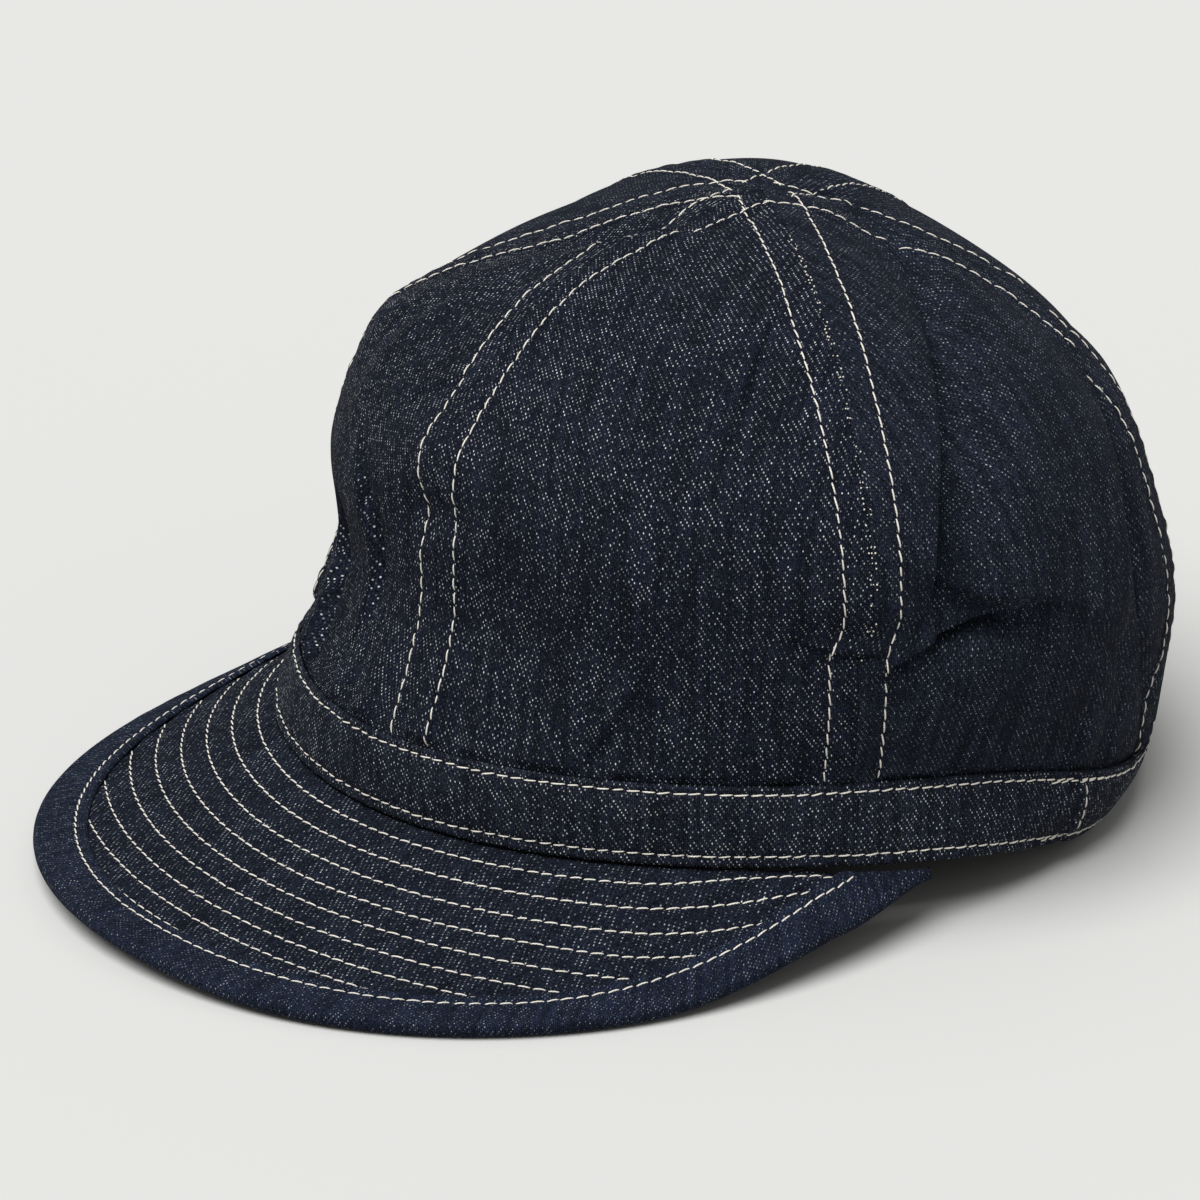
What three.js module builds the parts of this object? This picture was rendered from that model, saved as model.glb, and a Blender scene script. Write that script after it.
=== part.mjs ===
// A six-panel denim work cap lying on a table by itself, in millimetres, +Z up.
// The front of the cap faces -Y and the wearer's left is +X. The cloth is soft: the
// front of the band is carried up by the peak, and the back of the band lies flat.
import * as THREE from "three";

// Cloth and the play between sewn pieces.
const CROWN_WALL = 1.5;
const PLAY = 0.3;

// The band is an oval ring of folded cloth, seen from above.
const BAND_HALF_WIDTH = 95;
const BAND_FRONT_REACH = 94;
const BAND_BACK_REACH = 90;
const BAND_HEIGHT = 18.8;
const BAND_WALL = 2.4;
const BAND_PROUD = 0.6;
const BAND_ROWS = 3;

// How high the band's lower edge hangs over the table: waves round the ring, in mm.
const LIFT = { mean: 6.7, frontToBack: 18.1, sideDip: 5.66, leftOverRight: 1.5, softness: 2, flat: 0.05 };

// How far the band's upper edge stands outside its lower edge, every 30 degrees from the front.
const BAND_LEAN = [0, 1, 1, 0, 8, 12, 6, 4, 2, -3, -9, -5];

// Beside the band's join its lower edge is drawn in, and its middle bulges out.
const BAND_PINCH = { at: 130, deep: 3.2, bulge: 1.8, reach: 30 };

// The crown: six panels, sewn along six seams that cross over the head.
const SEAM_COUNT = 6;
const FIRST_SEAM = 11;
const CROSSING = { x: 7, y: 11, z: 135.5 };
const STEPS_ACROSS_PANEL = 13;
const STEPS_UP_PANEL = 23;
const PANEL_TIP = 0.996;
const CROWN_RUN = 175;

// Shares of the way from the hem to the crossing at which the sections are named.
const RUN_AT = [0, 0.22, 0.44, 0.66, 0.83, 1];

// One section for each seam and each panel's middle, every 30 degrees from the front seam.
// out: distance from the crossing's upright line. up: height. turn: degrees round that line.
const SECTION_COLUMNS = [
  "lowOut", "lowUp", "bellyOut", "bellyUp", "shoulderOut", "shoulderUp", "crestOut", "crestUp",
  "lowTurn", "bellyTurn", "shoulderTurn", "crestTurn",
];
const SECTIONS = [
  [95, 65, 95, 94, 78, 113.5, 49, 129, 0, 0, -2, -5], // front seam
  [97, 63, 97, 89, 84, 112, 52, 130, 0, 0, -1, -2],
  [98, 63, 98.5, 88, 85, 111, 52, 130, 1.2, 1.1, 0.5, 0], // front left seam
  [97, 58, 95.5, 81, 83, 105.5, 51, 125.5, 0, 0, 1, 3],
  [91.5, 48, 86.5, 73, 75, 98.5, 47, 121.5, 2, 3, 5, 7], // back left seam
  [91.5, 41, 87, 67, 73.5, 96, 46, 120, 0, 0, 2, 4],
  [92, 40, 88, 67, 72, 97, 46, 123.5, 0, 0, 2, 3], // back seam
  [92, 43, 89, 71, 74, 101, 46, 126.5, 0, 0, 0, 0],
  [93, 49, 91, 77, 77, 103, 48, 126, 0, 0, 1, 3], // back right seam
  [92, 55, 91.5, 81, 79, 104, 50, 123.5, 0, 0, -1, -2],
  [92, 59, 93, 82, 80.5, 106, 50, 121, 0, -1, -3, -4], // front right seam
  [93, 61, 93.5, 84, 80.5, 110, 50, 123.5, 0, 0, -2, -5],
];

// Folds and dents in the crown. at: degrees round the band. run: share of the way up.
// slant: degrees from upright. long and wide: reach in mm. deep: mm, outwards if above 0.
const FOLD_COLUMNS = ["at", "run", "slant", "long", "wide", "deep"];
const FOLDS = [
  [86.5, 0.6, 14, 40, 4.5, -4], // long valley behind the front left seam
  [92, 0.5, 10, 30, 8, 1.5],
  [99, 0.84, 38, 15, 4, -1.8],
  [76, 0.3, 90, 16, 4, -2.6], // dent that crosses the front left seam
  [87, 0.32, 118, 14, 5, -3.5],
  [117, 0.47, 7, 36, 4.5, -3], // upright folds on the left side
  [108, 0.22, -50, 12, 3.5, -2],
  [122, 0.14, -35, 10, 3, -2],
  [9, 0.38, 85, 8, 5.5, -3.5], // the front seam buckles in, and out above
  [9, 0.5, 90, 9, 6, 1.5],
  [58, 0.71, 33, 16, 3, -1.3], // slanting crease on the front left panel
  [-20, 0.77, 20, 22, 4, -1.6], // soft folds over the front shoulder
  [-11, 0.78, 20, 22, 3, 1.6],
  [-37, 0.66, 70, 14, 6, 1.5],
  [-20, 0.14, 0, 20, 5, 1.5], // the front stands out over the band
  [-34, 0.14, 0, 20, 7, -2.5],
  [-20, 0.89, 60, 12, 3, -2.5], // tuck beside the crossing
  [225, 0.9, 90, 25, 9, 1.5],
  [150, 0.45, 10, 25, 6, -2], // folds at the back and on the right side
  [170, 0.3, -8, 22, 5, 1.5],
  [207, 0.5, 15, 26, 6, -2.5],
  [238, 0.35, -12, 22, 6, -2],
  [268, 0.55, 8, 24, 7, -2.5],
  [290, 0.3, 75, 14, 5, -2],
];

// Below the dent the cloth of the front left seam has slid sideways.
const SLIDE = { at: 71, run: 0.285, reach: 26, shift: -3, softness: 0.012, radius: 95 };

// The peak: a plate of cloth sewn under the band, narrowing to nothing at both ends.
// Its ends are given as degrees round the band, its slopes as degrees down from level.
const PEAK_LENGTH = 67.5;
const PEAK_RIGHT = { end: -86, power: 1.85 };
const PEAK_LEFT = { end: 84.5, power: 2.08 };
const PEAK_ROUNDING = 1.5;
const PEAK_SLOPE = { front: 20.1, sides: 30.6, leftOverRight: 3.5 };
const PEAK_CURL = 0.001725;

// How far the peak's rim turns up, in mm, every 20 degrees from the front. It starts 24 mm
// inside the rim. The peak rests on the table where its rim turns up least.
const RIM_RISE = [3.4, 1.4, 0.5, 2.4, 2.4, 0, 0, 0, 0, 0, 0, 0, 0, 0, 0.5, 0.5, 0.8, 2.4];
const RIM_RISE_WIDTH = 24;
const PEAK_TUCK = 1.2;
const PEAK_BEND = 2;
const PLATE_HALF = 0.7;
const PEAK_MARGIN = 2;
const PEAK_STEPS_ALONG = 40;
const PEAK_CROWDING = 0.08;
const PEAK_STEPS_OUT = 4;

// The binding: a strip of cloth folded round the rim of the peak.
const BINDING_WIDTH = 13.2;
const BINDING_WALL = 1;
const BINDING_NOSE = 1.2;
const BINDING_TUCK = 0.5;
const LEG_SHARES = [0, 0.2, 0.45, 1];
const RIM_HALF = PLATE_HALF + PLAY + BINDING_WALL;

// The middle of the finished cap's box, seen from above: it becomes the origin.
const MIDDLE = { x: 2.8, y: -26.9 };

const DENIM = new THREE.MeshStandardMaterial({ color: 0x232c3f, roughness: 0.95, metalness: 0 });
const BAND_DENIM = new THREE.MeshStandardMaterial({ color: 0x252d3f, roughness: 0.95, metalness: 0 });
const BINDING_DENIM = new THREE.MeshStandardMaterial({ color: 0x263450, roughness: 0.93, metalness: 0 });

const radians = THREE.MathUtils.degToRad;
const smooth = THREE.MathUtils.smoothstep;

// Turns a table's rows into records that are read by column name.
function named(columns, rows) {
  return rows.map((row) => Object.fromEntries(columns.map((column, i) => [column, row[i]])));
}

// A height that never goes below nothing, with a soft bend where it lands.
function landed(height, softness) {
  return softness * Math.log1p(Math.exp(height / softness));
}

// The smooth curve through four equally spaced values, a share of the way from b to c.
function through(a, b, c, d, share) {
  const slope = c - a;
  const bend = 2 * a - 5 * b + 4 * c - d;
  const twist = 3 * b - 3 * c + d - a;
  return 0.5 * (2 * b + share * (slope + share * (bend + share * twist)));
}

// A value from a table that runs once round the head, read between its rows.
function roundHead(rows, degrees, read) {
  const place = THREE.MathUtils.euclideanModulo(degrees, 360) / (360 / rows.length);
  const first = Math.floor(place);
  const [a, b, c, d] = [-1, 0, 1, 2].map((step) => read(rows[(first + step + rows.length) % rows.length]));
  return through(a, b, c, d, place - first);
}

// The angle from one place to another round the ring, between -180 and 180.
function turnFrom(start, degrees) {
  return THREE.MathUtils.euclideanModulo(degrees - start + 180, 360) - 180;
}

// The band's lower edge at an angle round the ring, with the way out from it, level.
function bandFoot(degrees) {
  const angle = radians(degrees);
  const [sin, cos] = [Math.sin(angle), Math.cos(angle)];
  const reach = cos > 0 ? BAND_FRONT_REACH : BAND_BACK_REACH;
  const height =
    LIFT.mean + LIFT.frontToBack * cos - LIFT.sideDip * Math.cos(2 * angle) + LIFT.leftOverRight * sin;
  const lift = Math.max(landed(height, LIFT.softness) - LIFT.flat, 0);
  const pinch = Math.exp(-((turnFrom(BAND_PINCH.at, degrees) / BAND_PINCH.reach) ** 2));
  const out = new THREE.Vector3(sin / BAND_HALF_WIDTH, -cos / reach, 0).normalize();
  const point = new THREE.Vector3(BAND_HALF_WIDTH * sin, -reach * cos, lift);
  point.addScaledVector(out, -BAND_PINCH.deep * pinch);
  return { point, out, pinch };
}

// The band's outer face, a share of the way from its lower to its upper edge.
function bandFace(degrees, share) {
  const { point, out, pinch } = bandFoot(degrees);
  const lean = roundHead(BAND_LEAN, degrees, (value) => value);
  point.addScaledVector(out, lean * share + BAND_PINCH.bulge * pinch * 4 * share * (1 - share));
  point.z += Math.sqrt(BAND_HEIGHT ** 2 - lean ** 2) * share;
  return { point, out };
}

const SECTION_ROWS = named(SECTION_COLUMNS, SECTIONS);
const FOLD_ROWS = named(FOLD_COLUMNS, FOLDS);

// The crown without its folds: each section is a smooth curve from the hem to the crossing.
function crownShell(degrees, run) {
  const { point: hem, out } = bandFace(degrees, 1);
  hem.addScaledVector(out, -BAND_PROUD);
  hem.z += PLAY;
  const [dx, dy] = [hem.x - CROSSING.x, hem.y - CROSSING.y];
  const section = (column) => roundHead(SECTION_ROWS, degrees - FIRST_SEAM, (row) => row[column]);
  const rows = (kind) => ["low", "belly", "shoulder", "crest"].map((level) => section(level + kind));
  const outs = [Math.hypot(dx, dy), ...rows("Out"), 0];
  const ups = [hem.z, ...rows("Up"), CROSSING.z];
  const crestTurn = section("crestTurn");
  const turns = [0, ...rows("Turn"), crestTurn];
  const knot = Math.min(RUN_AT.findLastIndex((at) => at <= run), RUN_AT.length - 2);
  const share = (run - RUN_AT[knot]) / (RUN_AT[knot + 1] - RUN_AT[knot]);
  const read = (values, beyond) => {
    const padded = [2 * values[0] - values[1], ...values, beyond];
    return through(padded[knot], padded[knot + 1], padded[knot + 2], padded[knot + 3], share);
  };
  const reach = read(outs, -outs[4]);
  const angle = Math.atan2(dx, -dy) + radians(read(turns, crestTurn));
  const point = new THREE.Vector3(
    CROSSING.x + reach * Math.sin(angle),
    CROSSING.y - reach * Math.cos(angle),
    read(ups, ups[4]),
  );
  return { point, reach };
}

// How far the folds push the cloth out: each is a smooth hump, long one way and narrow across.
function foldDepth(degrees, run, reach) {
  return FOLD_ROWS.reduce((depth, fold) => {
    const across = radians(turnFrom(fold.at, degrees)) * Math.max(reach, 12);
    const along = (run - fold.run) * CROWN_RUN;
    const [sin, cos] = [Math.sin(radians(fold.slant)), Math.cos(radians(fold.slant))];
    const offLine = (across * cos - along * sin) / fold.wide;
    const onLine = (across * sin + along * cos) / fold.long;
    return depth + fold.deep * Math.exp(-0.5 * (offLine ** 2 + onLine ** 2));
  }, 0);
}

// A point of the crown's outer face, and the way out of the cloth there.
function crownFace(degrees, run) {
  const from = radians(turnFrom(SLIDE.at, degrees)) * SLIDE.radius;
  const below = 1 / (1 + Math.exp((run - SLIDE.run) / SLIDE.softness));
  const slid = SLIDE.shift * Math.exp(-((from / SLIDE.reach) ** 2)) * below * Math.min(run / SLIDE.run, 1);
  const place = degrees + THREE.MathUtils.radToDeg(slid / SLIDE.radius);
  const step = 0.1;
  const rise = 0.002;
  const { point, reach } = crownShell(place, run);
  const round = crownShell(place + step, run).point.sub(crownShell(place - step, run).point);
  const upper = crownShell(place, Math.min(run + rise, 1)).point;
  const upwards = upper.sub(crownShell(place, Math.max(run - rise, 0)).point);
  const out = round.cross(upwards).normalize();
  const fade = THREE.MathUtils.clamp(Math.min(run, 1 - run) / 0.04, 0, 1);
  point.addScaledVector(out, foldDepth(place, run, reach) * fade);
  return { point, out, reach };
}

// One closed body from numbered corners: its faces are turned to point outwards.
function closedBody(name, corners, faces, material) {
  const volume = faces.reduce((sum, [a, b, c]) => {
    const across = new THREE.Vector3().crossVectors(corners[b], corners[c]);
    return sum + corners[a].dot(across);
  }, 0);
  const turned = volume > 0 ? faces : faces.map(([a, b, c]) => [a, c, b]);
  const geometry = new THREE.BufferGeometry();
  geometry.setAttribute("position", new THREE.Float32BufferAttribute(corners.flatMap((p) => p.toArray()), 3));
  geometry.setIndex(turned.flat());
  geometry.computeVertexNormals();
  const mesh = new THREE.Mesh(geometry, material);
  mesh.name = name;
  return mesh;
}

// A body swept through stations, each a ring of as many corners. It closes on itself, or
// has a flat end at its first and last station, cut into the triangles of capFaces.
function sweptBody(name, stations, capFaces, material) {
  const size = stations[0].length;
  const joined = capFaces ? stations.length - 1 : stations.length;
  const faces = [];
  for (let i = 0; i < joined; i += 1) {
    const [here, next] = [i * size, ((i + 1) % stations.length) * size];
    for (let k = 0; k < size; k += 1) {
      const l = (k + 1) % size;
      faces.push([here + k, next + k, next + l], [here + k, next + l, here + l]);
    }
  }
  const last = joined * size;
  (capFaces ?? []).forEach(([a, b, c]) => faces.push([a, b, c], [last + a, last + c, last + b]));
  return closedBody(name, stations.flat(), faces, material);
}

// Cuts a wall's end, which has as many corners on its inner as on its outer side, into triangles.
function wallEnd(size) {
  const half = size / 2;
  const faces = [];
  for (let k = 0; k < half - 1; k += 1) {
    const [near, far] = [size - 1 - k, size - 2 - k];
    faces.push([k, k + 1, far], [k, far, near]);
  }
  return faces;
}

// A crown panel between two seams: each station crosses the panel, out over its outer face
// and back along its inner face, which lies one wall further in.
function crownPanel(name, startSeam) {
  const stations = [];
  for (let i = 0; i <= STEPS_UP_PANEL; i += 1) {
    const run = (PANEL_TIP * i) / STEPS_UP_PANEL;
    const level = 1 - Math.min(run / 0.05, 1);
    const outer = [];
    const inner = [];
    for (let k = 0; k <= STEPS_ACROSS_PANEL; k += 1) {
      const share = k / STEPS_ACROSS_PANEL;
      const middle = startSeam + (360 / SEAM_COUNT) * share;
      const { reach } = crownFace(middle, run);
      const seamPlay = THREE.MathUtils.radToDeg(PLAY / 2 / reach) * (1 - 2 * share);
      const { point, out } = crownFace(middle + seamPlay, run);
      const inwards = out.clone().lerp(new THREE.Vector3(out.x, out.y, 0).normalize(), level).normalize();
      outer.push(point);
      inner.unshift(point.clone().addScaledVector(inwards, -CROWN_WALL));
    }
    stations.push([...outer, ...inner]);
  }
  return sweptBody(name, stations, wallEnd(stations[0].length), DENIM);
}

// The band, all the way round: up its outer face and down its inner face.
function band() {
  const steps = SEAM_COUNT * STEPS_ACROSS_PANEL;
  const stations = Array.from({ length: steps }, (_, i) => {
    const degrees = FIRST_SEAM + (360 * i) / steps;
    const outer = [];
    const inner = [];
    for (let row = 0; row < BAND_ROWS; row += 1) {
      const { point, out } = bandFace(degrees, row / (BAND_ROWS - 1));
      outer.push(point);
      inner.unshift(point.clone().addScaledVector(out, -BAND_WALL));
    }
    return [...outer, ...inner];
  });
  return sweptBody("band", stations, null, BAND_DENIM);
}

// How far the peak's rim stands out from the band at an angle.
function rimReach(degrees) {
  const { end, power } = degrees < 0 ? PEAK_RIGHT : PEAK_LEFT;
  return PEAK_LENGTH * Math.max(1 - (degrees / end) ** power, 0) ** PEAK_ROUNDING;
}

// A point of the peak, a distance out from the band and over the middle of its cloth. It
// slopes down from the band, curls up to its rim and lands softly on the table. The ends
// hang a little lower, so that the binding passes under the band.
function peakPoint(degrees, distance, over) {
  const angle = radians(degrees);
  const { point, out } = bandFoot(degrees);
  const slope = radians(
    PEAK_SLOPE.front + PEAK_SLOPE.sides * (1 - Math.cos(angle)) + PEAK_SLOPE.leftOverRight * Math.sin(angle),
  );
  const away = landed(distance, PEAK_BEND);
  const bound = Math.max(smooth(Math.abs(degrees), 58, 70), smooth(away, 0, 25) / 2);
  point.addScaledVector(out, away * Math.cos(slope) + distance - away);
  const rim = rimReach(degrees);
  point.z += PEAK_CURL * away ** 2 - away * Math.sin(slope);
  const rise = roundHead(RIM_RISE, degrees, (value) => value) * smooth(rim, 4, 26);
  point.z += rise * smooth(distance, rim - RIM_RISE_WIDTH, rim);
  point.z -= PLAY + THREE.MathUtils.lerp(PLATE_HALF, RIM_HALF, bound);
  point.z = RIM_HALF + landed(point.z - RIM_HALF, 0.8);
  const tilt = Math.max(slope - 2 * PEAK_CURL * away, 0) / (1 + Math.exp(-distance / PEAK_BEND));
  point.addScaledVector(out, over * Math.sin(tilt));
  point.z += over * Math.cos(tilt);
  return point;
}

// The stations along the peak, from its right end to its left end, closer near both.
const ALONG_PEAK = Array.from({ length: PEAK_STEPS_ALONG + 1 }, (_, i) => {
  const even = i / PEAK_STEPS_ALONG;
  const share = even - PEAK_CROWDING * Math.sin(2 * Math.PI * even);
  return THREE.MathUtils.lerp(PEAK_RIGHT.end + PEAK_MARGIN, PEAK_LEFT.end - PEAK_MARGIN, share);
});

// Where the binding folds over the rim, and where its legs end, at an angle.
function bindingReach(degrees) {
  const rim = rimReach(degrees);
  return { rim, fold: rim - BINDING_NOSE - PLAY, inside: Math.max(rim - BINDING_WIDTH, -BINDING_TUCK) };
}

// The peak's plate, two stations shorter than its binding at both ends: each station runs
// out over its upper face and back under it, with corners where the binding has its own.
function peak() {
  const stations = ALONG_PEAK.slice(2, -2).map((degrees) => {
    const { fold, inside } = bindingReach(degrees);
    const open = Math.max(inside, fold / 2);
    const steps = Array.from({ length: PEAK_STEPS_OUT + 1 }, (_, k) => (open * k) / PEAK_STEPS_OUT);
    const bound = LEG_SHARES.slice(1, -1).map((share) => THREE.MathUtils.lerp(open, fold, share));
    const corners = [-PEAK_TUCK, ...steps, ...bound, fold - 0.1];
    const upper = corners.map((distance) => peakPoint(degrees, distance, PLATE_HALF));
    const under = corners.map((distance) => peakPoint(degrees, distance, -PLATE_HALF)).reverse();
    return [...upper, ...under];
  });
  return sweptBody("peak", stations, wallEnd(stations[0].length), DENIM);
}

// The binding: a folded strip, over the peak's rim and back under it.
function peakBinding() {
  const stations = ALONG_PEAK.map((degrees) => {
    const { rim, fold, inside } = bindingReach(degrees);
    const leg = LEG_SHARES.map((share) => THREE.MathUtils.lerp(inside, fold, share));
    const outside = [...leg.map((distance) => [distance, RIM_HALF]), [rim, RIM_HALF / 2]];
    const lining = [...leg.map((distance) => [distance, PLATE_HALF + PLAY]), [fold + PLAY, PLATE_HALF]];
    const upperOut = outside.map(([distance, over]) => peakPoint(degrees, distance, over));
    const underOut = outside.map(([distance, over]) => peakPoint(degrees, distance, -over)).reverse();
    const upperIn = lining.map(([distance, over]) => peakPoint(degrees, distance, over));
    const underIn = lining.map(([distance, over]) => peakPoint(degrees, distance, -over)).reverse();
    return [...upperOut, ...underOut, ...[...upperIn, ...underIn].reverse()];
  });
  return sweptBody("peak_binding", stations, wallEnd(stations[0].length), BINDING_DENIM);
}

const PANEL_NAMES = [
  "front_left_panel", "left_panel", "back_left_panel", "back_right_panel", "right_panel", "front_right_panel",
];

const group = new THREE.Group();
group.name = "work_cap";
PANEL_NAMES.forEach((name, i) => group.add(crownPanel(name, FIRST_SEAM + (360 / SEAM_COUNT) * i)));
group.add(band(), peak(), peakBinding());
group.children.forEach((piece) => piece.geometry.translate(-MIDDLE.x, -MIDDLE.y, 0));

export default group;
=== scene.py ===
import bpy
import numpy as np
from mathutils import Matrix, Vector


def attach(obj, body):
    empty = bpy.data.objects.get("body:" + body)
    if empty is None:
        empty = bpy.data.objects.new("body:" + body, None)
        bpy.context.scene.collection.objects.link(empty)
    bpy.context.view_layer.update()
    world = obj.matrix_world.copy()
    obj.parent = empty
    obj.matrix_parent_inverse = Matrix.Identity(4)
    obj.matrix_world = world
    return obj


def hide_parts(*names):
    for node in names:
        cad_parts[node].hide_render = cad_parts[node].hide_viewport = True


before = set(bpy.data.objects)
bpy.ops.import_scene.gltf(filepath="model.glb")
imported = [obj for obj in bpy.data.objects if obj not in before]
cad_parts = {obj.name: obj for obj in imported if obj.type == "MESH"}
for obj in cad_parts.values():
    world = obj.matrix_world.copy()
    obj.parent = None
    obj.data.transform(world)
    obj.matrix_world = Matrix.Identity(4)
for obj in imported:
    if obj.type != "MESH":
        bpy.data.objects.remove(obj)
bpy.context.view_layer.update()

# The band. A strip of denim folded lengthwise round the edge of the crown, 19 mm high, and
# stitched along both folds. It lies flat on the table at the back, and the peak carries it
# in front. Its ends lap over each other behind the wearer's left ear.
BAND_HALF_WIDTH = 95.0
BAND_FRONT_REACH = 94.0
BAND_BACK_REACH = 90.0
BAND_RADIUS = 93.5
BAND_HEIGHT = 18.8
BAND_THICK = 2.2
LOWER_ROW = 2.7
UPPER_ROW = 17.0
BAND_JOIN = 108.0
LAP_STEP = 0.9

# How high its lower edge lies over the table, in mm: the mean, and how much more at the
# front, at both sides and at the left. Where that comes out below the table, it lies on it.
LIFT_MEAN = 6.7
LIFT_FRONT = 18.1
LIFT_SIDES = 5.66
LIFT_LEFT = 1.5

# Behind the join the band is drawn in at its lower edge, and bulges out halfway up, in mm.
PINCH_AT = 130.0
PINCH_WIDTH = 30.0
PINCH_IN = 3.2
PINCH_BULGE = 7.2

# How far the band's upper edge stands out over its lower one, in mm, every 30 degrees.
BAND_LEAN = np.array([0, 1, 1, 0, 8, 12, 6, 4, 2, -3, -9, -5], float)

# The middle of the cap's own box, which is the frame's origin, from the middle of the ring.
BOX_MIDDLE = np.array([2.8, -26.9, 0.0])


def landed(height, softness):
    """Softness times log(1 + exp(height / softness)): never under nothing, with a soft bend."""
    return softness * np.logaddexp(0.0, height / softness)


def bump(distance, width):
    """A smooth hump that is 1 at no distance: exp(-distance squared / width squared)."""
    return np.exp(-((distance / width) ** 2))


def ramp(value, start, end):
    """0 before start, 1 after end, and the smooth step 3 x^2 - 2 x^3 between them."""
    x = np.clip((value - start) / (end - start), 0.0, 1.0)
    return x * x * (3.0 - 2.0 * x)


def quarter_round(distance, radius):
    """How far a rounded edge has come up, from 0 at the edge to 1 at the radius and past it:
    the upright of a quarter circle, the root of 1 - (1 - distance / radius) squared."""
    return np.sqrt(1.0 - (1.0 - np.clip(distance / radius, 0.0, 1.0)) ** 2)


def turned_from(degrees, place):
    """The angle from a place round the head, between -180 and 180 degrees."""
    return np.mod(degrees - place + 180.0, 360.0) - 180.0


def through(a, b, c, d, share):
    """The cubic that goes from b to c with the slopes (c - a) / 2 and (d - b) / 2."""
    slope = c - a
    bend = 2 * a - 5 * b + 4 * c - d
    twist = 3 * b - 3 * c + d - a
    return 0.5 * (2 * b + share * (slope + share * (bend + share * twist)))


def round_head(rows, degrees):
    """Reads a table whose rows lie evenly round the head, smoothly between its rows."""
    place = np.mod(degrees, 360.0) / (360.0 / len(rows))
    first = np.floor(place).astype(int)
    share = place - first
    if rows.ndim > 1:
        share = share[..., None]
    a, b, c, d = (rows[(first + step) % len(rows)] for step in (-1, 0, 1, 2))
    return through(a, b, c, d, share)


def unit(vectors):
    """Vectors of length one."""
    return vectors / np.maximum(np.linalg.norm(vectors, axis=-1, keepdims=True), 1e-9)


def band_foot(degrees):
    """The band's lower edge, the level direction out of it, and the share of the pinch. The
    edge is an oval, and its height is a sum of waves of one and two periods round the ring,
    landed softly on the table."""
    angle = np.radians(degrees)
    reach = np.where(np.cos(angle) > 0, BAND_FRONT_REACH, BAND_BACK_REACH)
    height = LIFT_MEAN + LIFT_FRONT * np.cos(angle) - LIFT_SIDES * np.cos(2 * angle)
    height += LIFT_LEFT * np.sin(angle)
    lift = np.maximum(landed(height, 2.0) - 0.05, 0.0)
    point = np.stack([BAND_HALF_WIDTH * np.sin(angle), -reach * np.cos(angle), lift], -1)
    out = unit(np.stack([np.sin(angle) / BAND_HALF_WIDTH, -np.cos(angle) / reach, 0 * angle], -1))
    pinch = bump(turned_from(degrees, PINCH_AT), PINCH_WIDTH)
    return point - out * (PINCH_IN * pinch)[..., None], out, pinch


def band_face(degrees, height):
    """The band's outer face, a height up its leaning wall from its lower edge. Where it is
    pinched it bulges by x (1 - x) of the largest bulge, for a share x of the height."""
    point, out, pinch = band_foot(degrees)
    lean = round_head(BAND_LEAN, degrees)
    share = height / BAND_HEIGHT
    point = point + out * (lean * share + PINCH_BULGE * pinch * share * (1 - share))[..., None]
    point[..., 2] += np.sqrt(BAND_HEIGHT**2 - lean**2) * share
    return point, out


def ripple(along, seed, lengths=(5.3, 8.1, 13.7)):
    """Irregular waves along a seam, between about -1 and 1: a sum of sines whose wave
    lengths in mm share no multiple, shifted by the seed."""
    waves = [np.sin(2 * np.pi * along / length + seed * (3 + k)) for k, length in enumerate(lengths)]
    return sum(waves) / 2.0


def ring_length(degrees):
    """Distance along the band in mm, as on a circle, for its weave and ripples."""
    return np.radians(degrees) * BAND_RADIUS


def lapped_edge(height):
    """Where the band's lapped end lies, in degrees: at the join, and slightly aslant."""
    return BAND_JOIN + 0.11 * (16.0 - height)


def band_relief(degrees, height):
    """How far the band's cloth stands out: by half a sine between its two rows of stitching,
    less a hump along each row, with ripples beside them and longer ones between them. The
    lapped end is a step that fades away."""
    along = ring_length(degrees)
    fill = 0.35 * np.sin(np.pi * np.clip((height - 2.4) / 14.8, 0, 1)) ** 0.5
    sunk = 0.3 * bump(height - LOWER_ROW, 0.7) + 0.3 * bump(height - UPPER_ROW, 0.7)
    edges = bump(height - 1.5, 4.0) * ripple(along, 1.0) + bump(height - 17.5, 4.0) * ripple(along, 2.0)
    middle = bump(height - 10, 5.0) * ripple(along + 0.5 * height, 3.0, (17.0, 29.0, 41.0))
    edge = lapped_edge(height)
    lap = ramp(degrees, edge, edge + 0.5) * (1 - ramp(degrees, BAND_JOIN + 8, BAND_JOIN + 30))
    return fill - sunk + 0.16 * edges + 0.22 * middle + LAP_STEP * lap


def band_cloth(degrees, height):
    """The band's outer face with its relief, rounded down by 0.8 mm at its folded edges.
    Returns points, the way out, and how far the rounding has come up, from 0 to 1."""
    past = quarter_round(np.minimum(height, BAND_HEIGHT - height), 0.9)
    point, out = band_face(degrees, height)
    point = point + out * (band_relief(degrees, height) * past - 0.8 * (1 - past))[..., None]
    return point, out, past


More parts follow.
